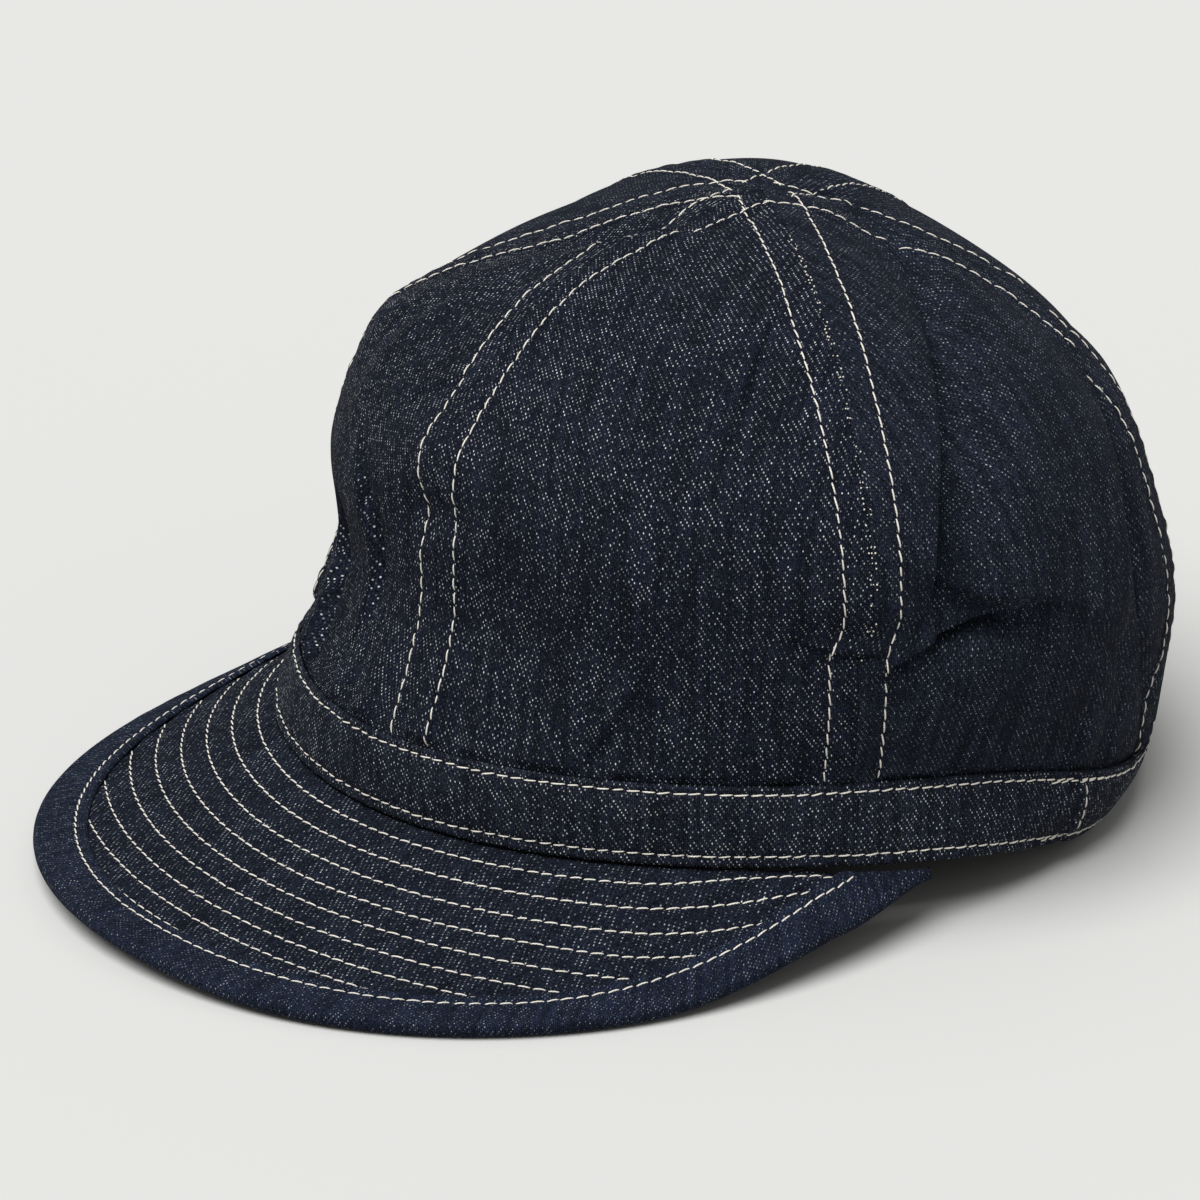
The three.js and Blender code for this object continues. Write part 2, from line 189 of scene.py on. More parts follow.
def sheet(points, cloth, close_rows=False, close_columns=False, ends=False):
    """Quads between the neighbours of a grid of points. A closed way's last line of points
    is the same as its first. Ends lay quads over the open ends of a tube whose ring goes out
    over one half of its points and back over the other. Returns corners, faces and the
    cloth's own places, in mm, for each corner of each face."""
    rows, columns = points.shape[:2]
    places = np.arange(rows * columns).reshape(rows, columns)
    number = places.copy()
    if close_rows:
        number[-1] = number[0]
    if close_columns:
        number[:, -1] = number[:, 0]
    grids = []
    for grid in (number, places):
        quads = np.stack([grid[:-1, :-1], grid[:-1, 1:], grid[1:, 1:], grid[1:, :-1]], -1).reshape(-1, 4)
        if ends:
            out, back = grid[:, : columns // 2], grid[:, -2 : columns // 2 - 1 : -1]
            for row, turn in ((0, 1), (-1, -1)):
                one, other = out[row], back[row]
                cap = np.stack([one[:-1], other[:-1], other[1:], one[1:]], -1)[:, ::turn]
                quads = np.concatenate([quads, cap])
        grids.append(quads)
    kept, faces = np.unique(grids[0], return_inverse=True)
    return points.reshape(-1, 3)[kept], faces.reshape(-1, 4), cloth.reshape(-1, 2)[grids[1].ravel()]


def to_mesh(name, corners, faces, cloth, material):
    """One smooth object, in metres, from corners in mm, faces that all have as many corners,
    and the cloth's places in mm."""
    mesh = bpy.data.meshes.new(name)
    mesh.vertices.add(len(corners))
    mesh.vertices.foreach_set("co", ((corners - BOX_MIDDLE) * 0.001).astype(np.float32).ravel())
    mesh.loops.add(faces.size)
    mesh.loops.foreach_set("vertex_index", faces.astype(np.int32).ravel())
    mesh.polygons.add(len(faces))
    mesh.polygons.foreach_set("loop_start", np.arange(0, faces.size, faces.shape[1], dtype=np.int32))
    mesh.update(calc_edges=True)
    layer = mesh.uv_layers.new(name="cloth")
    layer.data.foreach_set("uv", cloth.astype(np.float32).ravel())
    mesh.shade_smooth()
    mesh.materials.append(material)
    piece = bpy.data.objects.new(name, mesh)
    bpy.context.scene.collection.objects.link(piece)
    return piece


def linear(colour):
    """A hex colour as the eye sees it, turned into linear light for a shader."""
    shares = np.array([int(colour[k : k + 2], 16) for k in (1, 3, 5)]) / 255
    low, high = shares / 12.92, ((shares + 0.055) / 1.055) ** 2.4
    return (*np.where(shares <= 0.04045, low, high), 1.0)


def add(tree, kind, inputs=(), **settings):
    """Adds a shader node with its own settings. Its inputs, in order or by name, are values,
    sockets, or nodes that stand for their first output."""
    node = tree.nodes.new("ShaderNode" + kind)
    for key, value in settings.items():
        setattr(node, key, value)
    for key, value in inputs.items() if isinstance(inputs, dict) else enumerate(inputs):
        if isinstance(value, bpy.types.Node):
            value = next(socket for socket in value.outputs if socket.enabled)
        if isinstance(value, bpy.types.NodeSocket):
            tree.links.new(value, node.inputs[key])
        else:
            node.inputs[key].default_value = value
    return node


# The weave's real spacing, in mm. A Mix node's inputs for colours go by number, because its
# inputs for other things have the same names.
WARP_APART = 0.4
PICK_APART = 0.62
MIX_SHARE, MIX_FIRST, MIX_SECOND = 0, 6, 7


def raw_denim(name, warp_dark, warp_light, weft, weft_share, haze):
    """Raw 2/1 twill denim: indigo warp yarns 0.4 mm apart, and cream weft yarns 0.62 mm
    apart that come up once in three warps, as small dots in slanting lines. Never washed,
    so it is dark and matt, with uneven yarns, a bluish haze and short curled fibres."""
    material = bpy.data.materials.new(name)
    material.use_nodes = True
    tree = material.node_tree
    tree.nodes.clear()

    # The cloth's own place, in mm, where the yarns wander by up to 0.2 mm.
    place = add(tree, "UVMap", uv_map="cloth")
    waves = {"Vector": place, "Scale": 0.3, "Detail": 2.0}
    wander = add(tree, "TexNoise", waves, noise_dimensions="2D")
    centred = add(tree, "VectorMath", (wander.outputs["Color"], (0.5, 0.5, 0.5)), operation="SUBTRACT")
    shift = add(tree, "VectorMath", {0: centred, "Scale": 0.5}, operation="SCALE")
    woven = add(tree, "VectorMath", (place, shift), operation="ADD")

    # Which warp and which pick, and whether the weft is up: once in three warps, and one warp
    # aside with each pick.
    split = add(tree, "SeparateXYZ", (woven,))
    across = add(tree, "Math", (split.outputs[0], WARP_APART), operation="DIVIDE")
    along = add(tree, "Math", (split.outputs[1], PICK_APART), operation="DIVIDE")
    warp = add(tree, "Math", (across,), operation="FLOOR")
    pick = add(tree, "Math", (along,), operation="FLOOR")
    twill = add(tree, "Math", (warp, pick), operation="ADD")
    turn = add(tree, "Math", (twill, 3.0), operation="FLOORED_MODULO")
    weft_up = add(tree, "Math", (turn, 0.5), operation="LESS_THAN")

    # A round dot in the middle of its cell: the product of two half sines.
    part_across = add(tree, "Math", (across,), operation="FRACT")
    part_along = add(tree, "Math", (along,), operation="FRACT")
    turn_across = add(tree, "Math", (part_across, np.pi), operation="MULTIPLY")
    turn_along = add(tree, "Math", (part_along, np.pi), operation="MULTIPLY")
    round_across = add(tree, "Math", (turn_across,), operation="SINE")
    round_along = add(tree, "Math", (turn_along,), operation="SINE")
    round_dot = add(tree, "Math", (round_across, round_along), operation="MULTIPLY")
    fine_dot = add(tree, "Math", (round_dot, 2.8), operation="POWER")
    dot = add(tree, "Math", (weft_up, fine_dot), operation="MULTIPLY")

    # The cloth is uneven in streaks along the warp, some 1.7 mm wide, and in patches of
    # about 8 mm. Few dots are bright, and fewer of them in its darker parts.
    drawn_out = add(tree, "VectorMath", (woven, (0.6, 0.03, 1.0)), operation="MULTIPLY")
    streaks = {"Vector": drawn_out, "Scale": 1.0, "Detail": 3.0}
    streak = add(tree, "TexNoise", streaks, noise_dimensions="2D")
    patches = {"Vector": place, "Scale": 0.12, "Detail": 3.0}
    patch = add(tree, "TexNoise", patches, noise_dimensions="2D")
    uneven = add(tree, "Math", (patch, 0.5, streak), operation="MULTIPLY_ADD")
    streaky = add(tree, "MapRange", (uneven, 0.6, 0.92, 0.5, 1.3))
    cell = add(tree, "CombineXYZ", (warp, pick))
    chance = add(tree, "TexWhiteNoise", {"Vector": cell}, noise_dimensions="2D")
    strength = add(tree, "Math", (chance, 3.2), operation="POWER")
    bright_dot = add(tree, "Math", (dot, strength), operation="MULTIPLY")
    bright = add(tree, "Math", (bright_dot, streaky), operation="MULTIPLY")

    # The warp's indigo, with fibres of 0.4 mm that took more or less of the dye, and painted shade in the
    # gaps between its yarns, where the colour goes to near black towards the edges of each yarn.
    fibres = {"Vector": woven, "Scale": 2.6, "Detail": 1.0}
    fibre = add(tree, "TexNoise", fibres, noise_dimensions="2D")
    contrast = add(tree, "MapRange", (fibre, 0.32, 0.68, 0.0, 0.8))
    shade = add(tree, "Math", (contrast, streaky), operation="MULTIPLY")
    indigo = {MIX_SHARE: shade, MIX_FIRST: linear(warp_dark), MIX_SECOND: linear(warp_light)}
    dyed = add(tree, "Mix", indigo, data_type="RGBA")
    # Painted shade: the colour darkens to near black at the edges of each warp yarn.
    yarn_edge_shade = add(tree, "MapRange", (round_across, 0.0, 0.8, 0.85, 0.0))
    gap_shade_mix = {MIX_SHARE: yarn_edge_shade, MIX_FIRST: dyed, MIX_SECOND: linear("#04050a")}
    gap_shaded = add(tree, "Mix", gap_shade_mix, data_type="RGBA")

    # Lint: loose fibres, curled within about a millimetre, where a bent noise is one half.
    curls = {"Vector": place, "Scale": 0.8, "Detail": 3.0, "Distortion": 2.5}
    curled = add(tree, "TexNoise", curls, noise_dimensions="2D")
    off_curl = add(tree, "Math", (curled, 0.5), operation="SUBTRACT")
    near_curl = add(tree, "Math", (off_curl,), operation="ABSOLUTE")
    loose = add(tree, "MapRange", (near_curl, 0.0, 0.01, 0.26, 0.0))
    lint = {MIX_SHARE: loose, MIX_FIRST: gap_shaded, MIX_SECOND: linear("#6f7a90")}
    linty = add(tree, "Mix", lint, data_type="RGBA")
    weft_seen = add(tree, "Math", (bright, weft_share), operation="MULTIPLY", use_clamp=True)
    ends = {MIX_SHARE: weft_seen, MIX_FIRST: linty, MIX_SECOND: linear(weft)}
    colour = add(tree, "Mix", ends, data_type="RGBA")

    # The weave's low relief, and a matt surface with a thin bluish haze of fibres.
    yarn_height = add(tree, "Math", (round_across, 0.6), operation="MULTIPLY")
    fibre_height = add(tree, "Math", (fibre, 0.6, yarn_height), operation="MULTIPLY_ADD")
    height = add(tree, "Math", (weft_up, -0.3, fibre_height), operation="MULTIPLY_ADD")
    weave = add(tree, "Bump", {"Height": height, "Strength": 0.7, "Distance": 0.0002})
    surface = {"Base Color": colour, "Normal": weave, "Roughness": 0.92, "IOR": 1.45}
    surface.update({"Specular IOR Level": 0.06, "Sheen Weight": haze, "Sheen Roughness": 0.45})
    surface["Sheen Tint"] = linear("#8c99b4")
    shader = add(tree, "BsdfPrincipled", surface)
    add(tree, "OutputMaterial", {"Surface": shader})
    return material


band_denim = raw_denim("raw_denim_band", "#040509", "#2a303f", "#cdd3d3", weft_share=1.7, haze=0.012)

# The ring's section goes up the outer face and down the lining. Its heights lie closer
# together at the folded edges and the rows of stitching.
rises = [0, 0.15, 0.4, 0.8, 1.3, 1.8, 2.3, 2.7, 3.1, 3.6, 4.3, 5.3, 6.5, 8]
up_face = np.array(rises + [BAND_HEIGHT / 2] + [BAND_HEIGHT - rise for rise in rises[::-1]])
section = np.concatenate([up_face, up_face[::-1], up_face[:1]])
degrees, heights = np.meshgrid(np.linspace(180, 540, 621), section, indexing="ij")
degrees = np.where(degrees > 360, degrees - 360, degrees)
face, out, past = band_cloth(degrees, heights)
plain_face, _ = band_face(degrees, heights)
thick = BAND_THICK - 0.9 * ramp(heights, 12, 18) - 0.5 * (1 - past)
lining = plain_face - out * thick[..., None]
corner = np.arange(len(section))
inside = (corner >= len(up_face)) & (corner < len(section) - 1)
face = np.where(inside[None, :, None], lining, face)
face[..., 2] = np.maximum(face[..., 2], 0.0)
cloth = np.stack([ring_length(degrees), heights], -1)
band = to_mesh("denim_band", *sheet(face, cloth, True, True), band_denim)
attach(band, "root")
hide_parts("band")

# The crown. Six panels of the same denim, sewn together along six seams that cross over the
# head. The first and fourth seam are one line, sewn last over the others. The soft cloth
# leans to the front, sinks towards the back, and lies in folds.
SEAM_AT = 11.0
FRONT_LEFT_SEAM = SEAM_AT + 60.0
CROWN_THICK = 1.4
CROSSING = np.array([7.0, 11.0, 135.5])

# A place up the crown is a run, from 0 at the hem to 1 at the crossing, which is 175 mm long.
# The hem, the four levels and the crossing lie at these runs.
CROWN_RUN = 175.0
LEVEL_RUNS = np.array([0, 0.22, 0.44, 0.66, 0.83, 1])

# Every 30 degrees from the front seam, at four levels, low, belly, shoulder and crest: four
# pairs of the distance out from the crossing's upright line and the height, both in mm, and
# then four turns round that line, in degrees.
SECTIONS = np.array([
    [95, 65, 95, 94, 78, 113.5, 49, 129, 0, 0, -2, -5],  # front seam
    [97, 63, 97, 89, 84, 112, 52, 130, 0, 0, -1, -2],
    [98, 63, 98.5, 88, 85, 111, 52, 130, 1.2, 1.1, 0.5, 0],  # front left seam
    [97, 58, 95.5, 81, 83, 105.5, 51, 125.5, 0, 0, 1, 3],
    [91.5, 48, 86.5, 73, 75, 98.5, 47, 121.5, 2, 3, 5, 7],  # back left seam
    [91.5, 41, 87, 67, 73.5, 96, 46, 120, 0, 0, 2, 4],
    [92, 40, 88, 67, 72, 97, 46, 123.5, 0, 0, 2, 3],  # back seam
    [92, 43, 89, 71, 74, 101, 46, 126.5, 0, 0, 0, 0],
    [93, 49, 91, 77, 77, 103, 48, 126, 0, 0, 1, 3],  # back right seam
    [92, 55, 91.5, 81, 79, 104, 50, 123.5, 0, 0, -1, -2],
    [92, 59, 93, 82, 80.5, 106, 50, 121, 0, -1, -3, -4],  # front right seam
    [93, 61, 93.5, 84, 80.5, 110, 50, 123.5, 0, 0, -2, -5],
])

# Folds and dents: degrees round the band, run, degrees from upright, then length, width and
# depth in mm, where a fold that stands out has a depth above nothing.
FOLDS = np.array([
    [86.5, 0.6, 14, 40, 4.5, -4],  # long valley behind the front left seam
    [92, 0.5, 10, 30, 8, 1.5],
    [99, 0.84, 38, 15, 4, -1.8],
    [76, 0.3, 90, 16, 4, -2.6],  # dent that crosses the front left seam
    [87, 0.32, 118, 14, 5, -3.5],
    [117, 0.47, 7, 36, 4.5, -3],  # upright folds on the left side
    [108, 0.22, -50, 12, 3.5, -2],
    [122, 0.14, -35, 10, 3, -2],
    [9, 0.38, 85, 8, 5.5, -3.5],  # the front seam buckles in, and out above
    [9, 0.5, 90, 9, 6, 1.5],
    [58, 0.71, 33, 16, 3, -1.3],  # slanting crease on the front left panel
    [-20, 0.77, 20, 22, 4, -1.6],  # soft folds over the front shoulder
    [-11, 0.78, 20, 22, 3, 1.6],
    [-37, 0.66, 70, 14, 6, 1.5],
    [-20, 0.14, 0, 20, 5, 1.5],  # the front stands out over the band
    [-34, 0.14, 0, 20, 7, -2.5],
    [-20, 0.89, 60, 12, 3, -2.5],  # tuck beside the crossing
    [225, 0.9, 90, 25, 9, 1.5],  # folds at the back and on the right side
    [150, 0.45, 10, 25, 6, -2],
    [170, 0.3, -8, 22, 5, 1.5],
    [207, 0.5, 15, 26, 6, -2.5],
    [238, 0.35, -12, 22, 6, -2],
    [268, 0.55, 8, 24, 7, -2.5],
    [290, 0.3, 75, 14, 5, -2],
])

# Sharp creases, with the same first four columns. The cloth on their left folds over: it
# rises to the crease, drops over it, and comes up again over the width in mm. The last
# columns are how deep it drops, and how far the crease bows to the right, in mm.
CREASES = np.array([
    [85.5, 0.59, 13.9, 42, 7, 6.0, -5],  # behind the front left seam, nearly from top to hem
    [119, 0.45, 6.8, 40, 7, 5.5, -9],  # on the left side
    [82.5, 0.285, 59, 15, 10, 4.5, -1],  # the cloth above hangs over a dent
    [87, 0.375, 112, 12, 8, 1.4, 2],
    [93, 0.35, 100, 10, 7, 2.4, -2],
    [68, 0.277, 100, 9, 10, 1.6, 2],
    [57.5, 0.73, 17, 17, 5, 1.3, 0],  # slants towards the front left seam
    [-20, 0.12, -12, 26, 8, 4.5, -2],  # where the front hangs over the band
    [-9, 0.3, -8, 24, 8, 3.0, 3],
    [2, 0.61, 52, 9, 4, 1.5, 0],  # where the front seam bends
    [9, 0.885, 238, 11, 5, 2.0, 0],  # a tuck along the front seam
    [40, 0.1, 20, 14, 7, 1.6, 0],  # over the band
    [98, 0.13, -16, 16, 7, 1.8, 0],
    [151, 0.5, -10, 26, 8, 2.2, 3],  # at the back and on the right side
    [209, 0.42, 12, 30, 9, 2.8, -4],
    [240, 0.3, -14, 20, 7, 2.2, 2],
    [270, 0.52, 9, 28, 8, 2.6, 4],
    [291, 0.26, 76, 13, 6, 1.8, 0],
])


def crown_shell(degrees, run):
    """The crown without its folds. Each section is a smooth curve from the hem, through its
    four levels, to the crossing. Returns points and distances from the crossing's line."""
    hem, out = band_face(degrees, np.full_like(degrees, BAND_HEIGHT))
    hem = hem - out * 0.6
    hem[..., 2] += 0.3
    from_middle = hem - CROSSING
    table = round_head(SECTIONS, degrees - SEAM_AT)
    nothing = np.zeros_like(degrees)
    reach = np.hypot(from_middle[..., 0], from_middle[..., 1])
    outs = [reach, table[..., 0], table[..., 2], table[..., 4], table[..., 6], nothing]
    ups = [hem[..., 2], table[..., 1], table[..., 3], table[..., 5], table[..., 7], nothing + CROSSING[2]]
    turns = [nothing, table[..., 8], table[..., 9], table[..., 10], table[..., 11], table[..., 11]]
    knot = np.clip(np.searchsorted(LEVEL_RUNS, run, side="right") - 1, 0, 4)
    share = (run - LEVEL_RUNS[knot]) / (LEVEL_RUNS[knot + 1] - LEVEL_RUNS[knot])
    curves = []
    for values, beyond in ((outs, -outs[4]), (ups, ups[4]), (turns, turns[4])):
        padded = np.stack([2 * values[0] - values[1], *values, beyond], -1)
        near = [np.take_along_axis(padded, (knot + step)[..., None], -1)[..., 0] for step in range(4)]
        curves.append(through(*near, share))
    reach, up, turn = curves
    angle = np.arctan2(from_middle[..., 0], -from_middle[..., 1]) + np.radians(turn)
    around = np.stack([reach * np.sin(angle), -reach * np.cos(angle), 0 * angle], -1)
    around[..., :2] += CROSSING[:2]
    around[..., 2] = up
    return around, reach


# The rows of stitching lie 6 mm from each seam, over allowances that are 7 mm wide.
ROW_FROM_SEAM = 6.0
ALLOWANCE_RISE = 0.5


def seam_relief(degrees, run, reach):
    """The cloth at the seams, by the distance from the nearest one: a step up over the
    allowances, less a quarter round of 0.25 mm down into the seam and a hump along the row
    of stitching, with puckers beside the row."""
    off = np.mod(degrees - SEAM_AT, 60.0)
    number = np.floor(np.mod(degrees - SEAM_AT, 360.0) / 60.0)
    side = np.where(off < 30.0, 1.0, 2.0)
    off = np.radians(np.minimum(off, 60.0 - off)) * reach
    along = run * CROWN_RUN
    into = 0.25 * (1.0 - quarter_round(off, 0.5)) * ramp(reach, 3, 14)
    plateau = ALLOWANCE_RISE * (1 - ramp(off, 6.6, 7.6))
    channel = 0.28 * bump(off - ROW_FROM_SEAM, 0.7)
    waves = ripple(along + 0.6 * off, number + 7.0 * side)
    pucker = 0.22 * waves * bump(off - 4.0, 4.0) * ramp(off, 0, 1.5)
    return plateau - into - channel + pucker


def soft_step(value, width):
    """0 far below nothing and 1 far above it: 1 / (1 + exp(-value / width)), written with the
    hyperbolic tangent so that no value is too large for it."""
    return 0.5 + 0.5 * np.tanh(0.5 * value / width)


def along_fold(degrees, run, reach, at, at_run, slant):
    """Distances in mm from a place on the crown, across a line through it that leans from
    upright by the slant, and along that line."""
    across = np.radians(turned_from(degrees, at)) * np.maximum(reach, 12.0)
    up = (run - at_run) * CROWN_RUN
    cos, sin = np.cos(np.radians(slant)), np.sin(np.radians(slant))
    return across * cos - up * sin, across * sin + up * cos


# The cloth under the dent in the front left seam has slid towards the front, in mm.
DENT_RUN = 0.285
SLIDE = 3.0
SLIDE_WIDTH = 26.0


def crown_cloth(degrees, run):
    """The crown's outer face. The shell is pushed along its normal by the folds, which are
    humps exp(-(x^2 + y^2) / 2), by the creases, by waves round the hem, and by the seams. A
    crease rises as 0.4 exp(x) up to its line, takes a soft step down there, and comes back
    as -exp(-x) beyond it. Below the hem the cloth hangs on behind the band. Returns points,
    normals and distances out."""
    along = run * CROWN_RUN
    run = np.clip(run, 0.0, 1.0)
    from_seam = np.radians(degrees - FRONT_LEFT_SEAM) * BAND_HALF_WIDTH
    under_dent = soft_step(DENT_RUN - run, 0.012) * np.minimum(run / DENT_RUN, 1)
    slid = SLIDE * bump(from_seam, SLIDE_WIDTH) * under_dent
    place = degrees - np.degrees(slid / BAND_HALF_WIDTH)
    point, reach = crown_shell(place, run)
    level = crown_shell(place + 0.1, run)[0] - crown_shell(place - 0.1, run)[0]
    higher, lower = np.minimum(run + 0.002, 1), np.maximum(run - 0.002, 0)
    upwards = crown_shell(place, higher)[0] - crown_shell(place, lower)[0]
    normal = unit(np.cross(level, upwards))
    depth = np.zeros_like(run)
    for at, at_run, slant, long, wide, deep in FOLDS:
        off_line, on_line = along_fold(place, run, reach, at, at_run, slant)
        depth += deep * np.exp(-0.5 * ((off_line / wide) ** 2 + (on_line / long) ** 2))
    for at, at_run, slant, long, wide, deep, bow in CREASES:
        off_line, on_line = along_fold(place, run, reach, at, at_run, slant)
        on_line = on_line / long
        off_line = off_line - bow * (1 - on_line**2)
        over = soft_step(off_line, 0.4)
        rise = 0.4 * (1 - over) * np.exp(np.minimum(off_line, 0) / (0.8 * wide))
        drop = over * np.exp(-np.maximum(off_line, 0) / wide)
        depth += deep * (rise - drop) * np.exp(-0.5 * np.abs(on_line) ** 3)
    depth *= np.clip(np.minimum(run, 1 - run) / 0.04, 0, 1)
    angle = np.radians(place)
    gather = np.sin(37 * angle) + 0.8 * np.sin(53 * angle + 0.7) + 0.7 * np.sin(23 * angle + 1.75)
    depth += 0.5 * gather * bump(along, 22.0) * ramp(along, 0, 3)
    depth += seam_relief(degrees, run, reach)
    behind_band = 0.8 * (1 - ramp(along, 0, 3))
    point = point + normal * (depth - behind_band)[..., None]
    point[..., 2] += np.minimum(along, 0)
    return point, normal, reach


# The front panels show more and whiter weft ends than the sides and back.
side_denim = raw_denim("raw_denim_sides", "#04060b", "#262c3b", "#c6cccc", weft_share=0.65, haze=0.012)
front_denim = raw_denim("raw_denim_crown", "#030508", "#1f2434", "#cdd3d3", weft_share=1.3, haze=0.006)

# A panel is a flat tube of its outer and inner face, a hair's breadth from its neighbours.
# Its columns lie closer together at the seams, and the two panels that show most are finer.
PANEL_NAMES = ["front_left", "left", "back_left", "back_right", "right", "front_right"]
PANEL_GAP = 0.02
for number, name in enumerate(PANEL_NAMES):
    columns, rows = (161, 136) if number < 2 else (91, 96)
    denim = front_denim if number in (0, 5) else side_denim
    even = np.linspace(0, 1, columns)
    across_share = even - 0.55 * np.sin(2 * np.pi * even) / (2 * np.pi)
    runs = np.concatenate([[-0.015], np.linspace(0, 0.06, 12), np.linspace(0.066, 0.998, rows)])
    share, run = np.meshgrid(across_share, runs)
    start = SEAM_AT + 60.0 * number
    reach = crown_cloth(start + 60.0 * share, run)[2]
    gap = np.degrees(PANEL_GAP / np.maximum(reach, 0.3)) * (1 - 2 * share)
    degrees = start + 60.0 * share + gap
    face, normal, reach = crown_cloth(degrees, run)
    thick = CROWN_THICK + seam_relief(degrees, np.clip(run, 0, 1), reach)
    inside = face - normal * thick[..., None]
    tube = np.concatenate([face, inside[:, ::-1], face[:, :1]], 1)
    across_mm = np.radians(degrees - start - 30.0) * reach
    steps_up = np.linalg.norm(np.diff(face[:, columns // 2], axis=0), axis=-1)
    climbed = np.concatenate([[0.0], np.cumsum(steps_up)])[:, None]
    cloth = np.stack([across_mm, climbed + 0 * across_mm], -1)
    tube_cloth = np.concatenate([cloth, cloth[:, ::-1], cloth[:, :1]], 1)
    panel = to_mesh(f"denim_{name}_panel", *sheet(tube, tube_cloth, False, True, True), denim)
    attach(panel, "root")
    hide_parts(f"{name}_panel")

# The crown's stitching. Two rows of cream cotton thread beside each seam, 6 mm from it, at
# eight stitches to the inch. The rows of opposite seams run on into each other, so that
# three pairs of rows cross over the head.
STITCH_APART = 3.15
STITCH_HALF = 1.4
STITCH_SLANT = np.radians(6.5)
THREAD_RADIUS = 0.19


def stitch_row(surface, first, second, steps, seed, face=1.0, apart=STITCH_APART):
    """Even places for stitches along a path over a surface, which gives points in mm from
    two numbers. The cloth's normal is the cross product of the surface's changes over small
    steps of both. Returns the middle, the normal and the way along for each stitch."""
    path = surface(first, second)
    length = np.concatenate([[0.0], np.cumsum(np.linalg.norm(np.diff(path, axis=0), axis=-1))])
    count = max(int(length[-1] / apart), 1)
    chance = np.random.default_rng(seed)
    at = (np.arange(count) + 0.5) * length[-1] / count + chance.normal(0.0, 0.06, count)
    one, other = np.interp(at, length, first), np.interp(at, length, second)
    change = surface(one + steps[0], other) - surface(one - steps[0], other)
    other_change = surface(one, other + steps[1]) - surface(one, other - steps[1])
    ahead = [np.interp(at + 1.0, length, values) for values in (first, second)]
    behind = [np.interp(at - 1.0, length, values) for values in (first, second)]
    along = unit(surface(*ahead) - surface(*behind))
    normal = unit(np.cross(change, other_change)) * face
    return surface(one, other), normal, along


def thread_piece(name, rows, material, seed, half=STITCH_HALF):
    """One object of stitches. Each is a rod of five rings of six corners, with a point at
    both ends. At a share x of the way from its middle to its end it lies 0.26 (1 - x^2.4)
    less 0.1 mm over the cloth, and is thinner by the root of 1 - 0.6 x^4. It lies a few
    degrees aslant, and no two are quite alike. Every stitch has its own part of the
    thread's pattern."""
    middle, normal, along = (np.concatenate([row[k] for row in rows])[:, None] for k in range(3))
    count = len(middle)
    chance = np.random.default_rng(seed)
    far = np.repeat([-1.0, -0.62, 0.0, 0.62, 1.0], 6)
    turn = np.tile(np.radians(np.arange(6) * 60.0 - 90.0), 5)
    thick = THREAD_RADIUS * np.sqrt(1 - 0.6 * far**4)
    arch = 0.26 * (1 - np.abs(far) ** 2.4) - 0.1
    rod = np.stack([far, thick * np.cos(turn), arch + 0.85 * thick * np.sin(turn)], -1)
    tips = [[-1.1, 0.0, -0.2], [1.1, 0.0, -0.2]]
    rod = np.concatenate([rod, tips])
    first_tip, last_tip = len(rod) - 2, len(rod) - 1
    half_length = half * chance.normal(1.0, 0.04, (count, 1))
    slant = STITCH_SLANT + chance.normal(0.0, 0.04, (count, 1))
    rise = chance.normal(0.0, 0.03, (count, 1))
    x, y, z = rod[:, 0] * half_length, rod[:, 1] + 0 * half_length, rod[:, 2] + rise
    across = np.cross(normal, along)
    forward = (x * np.cos(slant) - y * np.sin(slant))[..., None]
    sideways = (x * np.sin(slant) + y * np.cos(slant))[..., None]
    corners = middle + forward * along + sideways * across + z[..., None] * normal
    ring = np.arange(5)[:, None] * 6 + np.arange(7) % 6
    a, b, c, d = ring[:-1, :-1], ring[:-1, 1:], ring[1:, 1:], ring[1:, :-1]
    sides = [np.stack([a, b, c], -1).reshape(-1, 3), np.stack([a, c, d], -1).reshape(-1, 3)]
    start = np.stack([ring[0, 1:], ring[0, :-1], np.full(6, first_tip)], -1)
    end = np.stack([ring[-1, :-1], ring[-1, 1:], np.full(6, last_tip)], -1)
    faces = np.concatenate([*sides, start, end])
    faces = faces[None] + len(rod) * np.arange(count)[:, None, None]
    faces = faces.reshape(-1, 3)
    shift = 7.3 * np.arange(count)[:, None]
    girth = np.concatenate([turn * 0.29, [0.0, 0.0]])
    cloth = np.stack([x + shift, girth + 0 * x], -1).reshape(-1, 2)
    piece = to_mesh(name, corners.reshape(-1, 3), faces, cloth[faces.ravel()], material)
    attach(piece, "root")


# Cream cotton thread, spun and twisted: matt, with ridges about 0.7 mm apart that run
# aslant round it, and slightly darker where it has taken up dirt.
cream_thread = bpy.data.materials.new("cream_cotton_thread")
cream_thread.use_nodes = True
tree = cream_thread.node_tree
tree.nodes.clear()
place = add(tree, "UVMap", uv_map="cloth")
split = add(tree, "SeparateXYZ", (place,))
twist = add(tree, "Math", (split.outputs[1], 1.2, split.outputs[0]), operation="MULTIPLY_ADD")
plies = add(tree, "Math", (twist, 9.0), operation="MULTIPLY")
ply = add(tree, "Math", (plies,), operation="SINE")
soil = add(tree, "TexNoise", {"Vector": place, "Scale": 0.3, "Detail": 2.0}, noise_dimensions="2D")
cream = {MIX_SHARE: soil, MIX_FIRST: linear("#bdb7aa"), MIX_SECOND: linear("#dfdbd2")}
tone = add(tree, "Mix", cream, data_type="RGBA")
ridges = add(tree, "Bump", {"Height": ply, "Strength": 0.5, "Distance": 0.00006})
cotton = {"Base Color": tone, "Normal": ridges, "Roughness": 0.8, "Specular IOR Level": 0.25}
cotton["Sheen Weight"] = 0.1
shader = add(tree, "BsdfPrincipled", cotton)
add(tree, "OutputMaterial", {"Surface": shader})


def crown_points(degrees, run):
    """Points of the crown's outer face."""
    return crown_cloth(degrees, run)[0]


